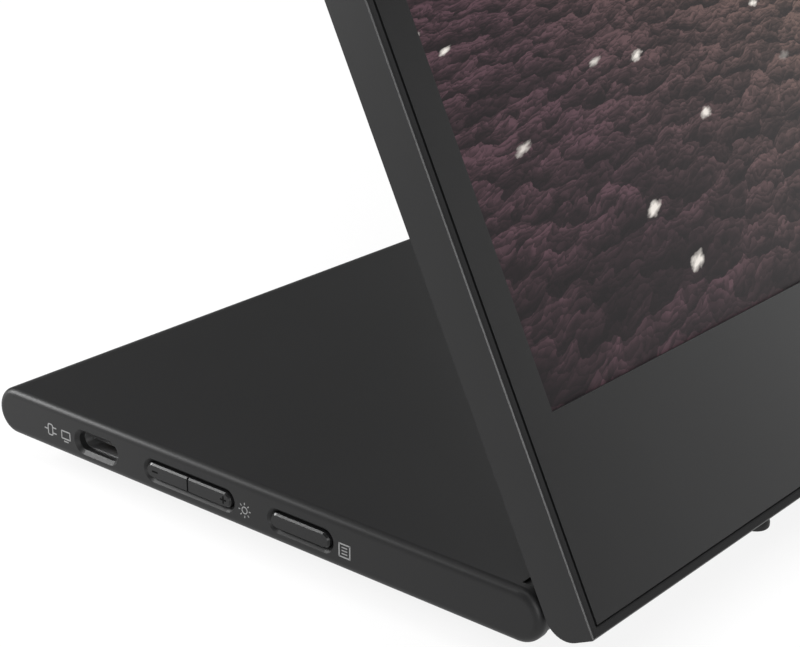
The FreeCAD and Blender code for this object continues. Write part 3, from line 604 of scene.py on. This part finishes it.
# Screen
# Glass cell with an anti-glare front, laid on the light layers. It shows a made-up picture: a moor of
# mauve heather at dusk that runs back to dark hills, dotted with pale tufts of cotton grass.

HORIZON = 0.62
HORIZON_SOFTNESS = 0.05
VANISHING_ACROSS = 0.4
DEPTH_SCALE = 0.5


def blend_colours(tree, share, first, second):
    """Two colours mixed by a share; either may be a plain colour."""
    mix = tree.nodes.new("ShaderNodeMix")
    mix.data_type = "RGBA"
    tree.links.new(share, mix.inputs["Factor"])
    for socket, colour in ((mix.inputs[6], first), (mix.inputs[7], second)):
        if isinstance(colour, tuple):
            socket.default_value = (*colour, 1.0)
        else:
            tree.links.new(colour, socket)
    return mix.outputs[2]


def joined(tree, first, second):
    """Two values as the first two numbers of a vector."""
    node = tree.nodes.new("ShaderNodeCombineXYZ")
    tree.links.new(first, node.inputs["X"])
    tree.links.new(second, node.inputs["Y"])
    return node.outputs["Vector"]


def share_between(tree, value, start, end):
    """A share that goes from 0 to 1 as a value goes from start to end."""
    return spread(tree, value, low=0.0, high=1.0, from_low=start, from_high=end)


def frayed(tree, vector, scale, amount):
    """A place pushed about by fine noise, which frays the edges of what follows it."""
    texture = tree.nodes.new("ShaderNodeTexNoise")
    texture.inputs["Scale"].default_value = scale
    texture.inputs["Detail"].default_value = 5.0
    tree.links.new(vector, texture.inputs["Vector"])
    push = tree.nodes.new("ShaderNodeVectorMath")
    push.operation = "MULTIPLY_ADD"
    tree.links.new(texture.outputs["Color"], push.inputs[0])
    push.inputs[1].default_value = (amount, amount, amount)
    tree.links.new(vector, push.inputs[2])
    return push.outputs["Vector"]


def lumps(tree, ground, scale):
    """Lumps side by side: height on each lump, a number of its own and the distance from its middle."""
    texture = tree.nodes.new("ShaderNodeTexVoronoi")
    texture.voronoi_dimensions = "2D"
    texture.inputs["Scale"].default_value = scale
    tree.links.new(ground, texture.inputs["Vector"])
    offset = tree.nodes.new("ShaderNodeVectorMath")
    offset.operation = "SUBTRACT"
    tree.links.new(ground, offset.inputs[0])
    tree.links.new(texture.outputs["Position"], offset.inputs[1])
    split = tree.nodes.new("ShaderNodeSeparateXYZ")
    tree.links.new(offset.outputs["Vector"], split.inputs["Vector"])
    own = tree.nodes.new("ShaderNodeSeparateColor")
    tree.links.new(texture.outputs["Color"], own.inputs["Color"])
    height = combined(tree, "MULTIPLY", split.outputs["Y"], scale)
    return height, own.outputs["Red"], texture.outputs["Distance"]


def moor_ground(tree, across, up):
    """Where a place on the picture lies on the moor, which shrinks towards the horizon."""
    down = combined(tree, "MAXIMUM", combined(tree, "SUBTRACT", HORIZON, up), 0.0)
    away = combined(tree, "DIVIDE", 1.0, combined(tree, "ADD", down, HORIZON_SOFTNESS))
    aside = combined(tree, "MULTIPLY", combined(tree, "SUBTRACT", across, VANISHING_ACROSS), away)
    return joined(tree, aside, combined(tree, "MULTIPLY", away, DEPTH_SCALE))


def heather_light(tree, ground, scale, foot, crown, foot_height, crown_height, dullest, brightest):
    """Light on heather lumps of one size: darker at the foot, and each lump duller or brighter."""
    height, tone, _ = lumps(tree, ground, scale)
    lit = spread(tree, height, low=foot, high=crown, from_low=foot_height, from_high=crown_height)
    own_light = spread(tree, tone, low=dullest, high=brightest, from_low=0.0, from_high=1.0)
    return combined(tree, "MULTIPLY", lit, own_light)


TROUGH = (0.008, 0.0065, 0.0075)
MAUVE = (0.100, 0.052, 0.066)
WARM = (0.150, 0.094, 0.078)
CLUMPS = 11.0
TUFTS = 34.0
FLORETS = 150.0
FRAYING = 0.035
WARMTH_SLANT = 0.35
WARMTH_START = 0.14
WARMTH_END = 0.38
NEAR_LIGHT = 0.4
FAR_LIGHT = 1.3
FAR_UP = 0.28


def heather(tree, ground, across, up):
    """The heather's colour: clumps, tufts on them and florets on those, warmer to the upper right."""
    ragged = frayed(tree, ground, TUFTS, FRAYING)
    clump = heather_light(tree, ragged, CLUMPS, foot=0.45, crown=1.0, foot_height=-0.5, crown_height=0.3,
                          dullest=0.7, brightest=1.15)
    tuft = heather_light(tree, ragged, TUFTS, foot=0.15, crown=1.0, foot_height=-0.45, crown_height=0.4,
                         dullest=0.6, brightest=1.2)
    floret = heather_light(tree, ragged, FLORETS, foot=0.5, crown=1.3, foot_height=-0.4, crown_height=0.4,
                           dullest=0.6, brightest=1.4)
    lit = combined(tree, "MULTIPLY", clump, combined(tree, "MULTIPLY", tuft, floret))
    slant = combined(tree, "ADD", across, combined(tree, "MULTIPLY", up, WARMTH_SLANT))
    light = blend_colours(tree, share_between(tree, slant, WARMTH_START, WARMTH_END), MAUVE, WARM)
    dusk = spread(tree, up, NEAR_LIGHT, FAR_LIGHT, from_low=0.0, from_high=FAR_UP)
    return blend_colours(tree, combined(tree, "MULTIPLY", lit, dusk), TROUGH, light)


COTTON = (0.85, 0.80, 0.74)
COTTON_PATCHES = 14.0
COTTON_FRAY_SCALE = 110.0
COTTON_FRAYING = 0.016
COTTON_PICKED = (0.84, 0.86)
COTTON_HEAD = (0.04, 0.14)


def cotton_share(tree, ground):
    """Where cotton grass stands: a ragged head in the middle of a few patches."""
    _, tone, distance = lumps(tree, frayed(tree, ground, COTTON_FRAY_SCALE, COTTON_FRAYING), COTTON_PATCHES)
    head = spread(tree, distance, low=1.0, high=0.0, from_low=COTTON_HEAD[0], from_high=COTTON_HEAD[1])
    return combined(tree, "MULTIPLY", share_between(tree, tone, *COTTON_PICKED), head)


HILL = (0.035, 0.022, 0.030)
SKY_HIGH = (0.030, 0.020, 0.027)
SKY_LOW = (0.300, 0.185, 0.150)
RIDGES = 4.0
RIDGE_RISE = 0.1
RIDGE_EDGE = 0.002
CLOUDS = 3.0
CLOUD_STRETCH = 4.0
CLOUD_STIR = 0.2
SKY_TOP = 0.95


def hills_and_sky(tree, across, up):
    """The colour behind the moor: a dark ridge before a banded sky."""
    ridge = noise(tree, across, RIDGES, detail=6.0, dimensions="1D")
    ridge_up = spread(tree, ridge, low=HORIZON, high=HORIZON + RIDGE_RISE)
    stretched = joined(tree, across, combined(tree, "MULTIPLY", up, CLOUD_STRETCH))
    cloud = spread(tree, noise(tree, stretched, CLOUDS, detail=6.0), low=-CLOUD_STIR, high=CLOUD_STIR)
    sky_share = share_between(tree, combined(tree, "ADD", up, cloud), HORIZON, SKY_TOP)
    sky = blend_colours(tree, sky_share, SKY_LOW, SKY_HIGH)
    above_ridge = share_between(tree, combined(tree, "SUBTRACT", up, ridge_up), -RIDGE_EDGE, RIDGE_EDGE)
    return blend_colours(tree, above_ridge, HILL, sky)


FADE_BELOW_HORIZON = 0.02
FADE_ABOVE_HORIZON = 0.003


def moor_and_sky(tree, across, up):
    """The picture's colour, from shares across and up the screen."""
    ground = moor_ground(tree, across, up)
    moor = blend_colours(tree, cotton_share(tree, ground), heather(tree, ground, across, up), COTTON)
    beyond = share_between(tree, up, HORIZON - FADE_BELOW_HORIZON, HORIZON + FADE_ABOVE_HORIZON)
    return blend_colours(tree, beyond, moor, hills_and_sky(tree, across, up))


PICTURE_STRENGTH = 1.0
GLASS_BLACK = (0.004, 0.004, 0.004, 1.0)
GLASS_GLOSS = 0.15
ANTI_GLARE_PER_METRE = 7000.0
ANTI_GLARE_DEPTH = 0.004 * MM


def screen_picture():
    """Dark anti-glare glass with the picture shining through it."""
    material, tree, shader, place = new_material("screen_picture")
    split = tree.nodes.new("ShaderNodeSeparateXYZ")
    tree.links.new(place.outputs["UV"], split.inputs["Vector"])
    picture = moor_and_sky(tree, split.outputs["X"], split.outputs["Y"])
    tree.links.new(picture, shader.inputs["Emission Color"])
    shader.inputs["Emission Strength"].default_value = PICTURE_STRENGTH
    shader.inputs["Base Color"].default_value = GLASS_BLACK
    sparkle = noise(tree, place.outputs["Object"], ANTI_GLARE_PER_METRE, detail=2.0)
    tree.links.new(spread(tree, sparkle, low=0.38, high=0.46), shader.inputs["Roughness"])
    shader.inputs["Specular IOR Level"].default_value = GLASS_GLOSS
    bump(tree, shader, sparkle, ANTI_GLARE_DEPTH, strength=0.3)
    return material


SCREEN_EDGE = 2.5 * MM
GLASS_SOFTNESS = 0.12 * MM
heights = display_extent("lcd_cell", UP_DISPLAY)
depths = display_extent("lcd_cell", TO_VIEWER)
half_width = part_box("lcd_cell")[1].x
bm = bmesh.new()
add_box(bm, Vector((-half_width, min(depths), min(heights))), Vector((half_width, max(depths), max(heights))))
bmesh.ops.bevel(bm, geom=bm.edges[:], offset=GLASS_SOFTNESS, segments=2, affect="EDGES", profile=0.5)
uv = bm.loops.layers.uv.new("picture")
active_width = 2 * (half_width - SCREEN_EDGE)
active_height = max(heights) - min(heights) - 2 * SCREEN_EDGE
for face in bm.faces:
    for loop in face.loops:
        point = loop.vert.co
        loop[uv].uv = ((point.x + active_width / 2) / active_width,
                       (point.z - min(heights) - SCREEN_EDGE) / active_height)
for vertex in bm.verts:
    across, depth, height = vertex.co
    vertex.co = HINGE + Vector((across, 0, 0)) + height * UP_DISPLAY + depth * TO_VIEWER
screen = new_piece("screen_glass", mesh_from(bm, "screen_glass"), screen_picture(), "display")
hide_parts("lcd_cell")

# Front bezel
# Flat moulded frame round the screen, in the same charcoal, set a hair below the rim. A frame of foam
# tape behind it holds it down.

BEZEL_COLOUR = (0.0088, 0.0088, 0.0090)
BEZEL_PLASTIC = moulded_plastic("bezel_plastic", BEZEL_COLOUR, roughness=0.4, gloss=0.43)
TAPE = rubber("foam_tape", colour=(0.01, 0.01, 0.01))
dress(BEZEL_PLASTIC, "front_bezel")
dress(TAPE, "bezel_tape")

# The viewpoint
# A long lens at arm's length, held level, looks down past the base's left side at the lower left part
# of the screen.

CAMERA_PLACE = Vector((-321.6, -165.0, 122.1)) * MM
CAMERA_FORWARD = Vector((0.7133, 0.6035, -0.3564))
LENS_MM = 82.7
SENSOR_MM = 36.0
NEAREST_SEEN = 10.0 * MM

camera_data = bpy.data.cameras.new("viewpoint")
camera_data.lens = LENS_MM
camera_data.sensor_width = SENSOR_MM
camera_data.sensor_fit = "HORIZONTAL"
camera_data.clip_start = NEAREST_SEEN
camera = bpy.data.objects.new("viewpoint", camera_data)
camera.rotation_mode = "QUATERNION"
camera.rotation_quaternion = CAMERA_FORWARD.to_track_quat("-Z", "Y")
camera.location = CAMERA_PLACE
bpy.context.scene.collection.objects.link(camera)
bpy.context.scene.camera = camera

# The studio
# A pale glowing table before a pale backdrop. Soft banks of light stand overhead, close by the base's
# rear left corner, behind on the left for the edges, low on the right and behind the viewer.

FLOOR_SIDE = 60.0
FLOOR_LIGHT = 0.87
TABLE_COLOUR = (0.13, 0.13, 0.13)
TABLE_CLOUDS_PER_METRE = 3.0
TABLE_ROUGHNESS = 0.9
WHITE = (1.0, 1.0, 1.0, 1.0)
floor_mesh = bmesh.new()
bmesh.ops.create_grid(floor_mesh, x_segments=1, y_segments=1, size=FLOOR_SIDE / 2)
floor = bpy.data.objects.new("studio_floor", mesh_from(floor_mesh, "studio_floor"))
bpy.context.scene.collection.objects.link(floor)
table, table_tree, table_shader, table_place = new_material("pale_light_table")
table_cloud = noise(table_tree, table_place.outputs["Object"], TABLE_CLOUDS_PER_METRE, detail=2.0)
pale = tint(table_tree, TABLE_COLOUR, spread(table_tree, table_cloud, low=0.99, high=1.01))
table_tree.links.new(pale, table_shader.inputs["Base Color"])
table_shader.inputs["Roughness"].default_value = TABLE_ROUGHNESS
table_shader.inputs["Specular IOR Level"].default_value = 0.0
table_shader.inputs["Emission Color"].default_value = WHITE
table_shader.inputs["Emission Strength"].default_value = FLOOR_LIGHT
floor.data.materials.append(table)

SURROUND = 0.12
BACKDROP = 0.84
surround = bpy.data.worlds.new("dim_surround")
surround.use_nodes = True
surround_tree = surround.node_tree
seen = surround_tree.nodes.new("ShaderNodeLightPath").outputs["Is Camera Ray"]
brightness = spread(surround_tree, seen, SURROUND, BACKDROP, from_low=0.0, from_high=1.0)
surround_tree.links.new(brightness, surround_tree.nodes["Background"].inputs["Color"])
bpy.context.scene.world = surround
bpy.context.scene.view_settings.view_transform = "Standard"


def light_bank(name, toward, distance, width, height, brightness, target=Vector((0.0, 0.0, 0.0))):
    """A soft bank of even brightness that stands off from its target in a direction and faces it."""
    data = bpy.data.lights.new(name, "AREA")
    data.shape = "RECTANGLE"
    data.size = width
    data.size_y = height
    data.energy = brightness * pi * width * height
    light = bpy.data.objects.new(name, data)
    light.location = target + Vector(toward).normalized() * distance
    light.rotation_mode = "QUATERNION"
    light.rotation_quaternion = (-Vector(toward)).to_track_quat("-Z", "Y")
    bpy.context.scene.collection.objects.link(light)


base_low, base_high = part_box("base_top_cover")
REAR_LEFT = Vector((base_low.x, base_high.y, base_high.z))
light_bank("overhead_bank", toward=(0.0, -0.06, 1.0), distance=1.7, width=2.0, height=2.0, brightness=2.7)
light_bank("corner_bank", toward=(-0.42, 0.744, 0.46), distance=0.14, width=0.04, height=0.08,
           brightness=26.0, target=REAR_LEFT)
light_bank("key_edge_bank", toward=(-0.59, 0.604, 0.535), distance=1.38, width=0.12, height=0.34,
           brightness=22.0)
light_bank("far_bank", toward=(0.93, 0.33, 0.16), distance=1.6, width=0.8, height=0.35, brightness=8.8)
light_bank("right_bank", toward=(0.95, -0.31, 0.14), distance=1.6, width=1.0, height=0.6, brightness=1.85)
light_bank("viewer_strip", toward=(-0.67, -0.62, 0.31), distance=1.3, width=0.25, height=0.8, brightness=13.0)
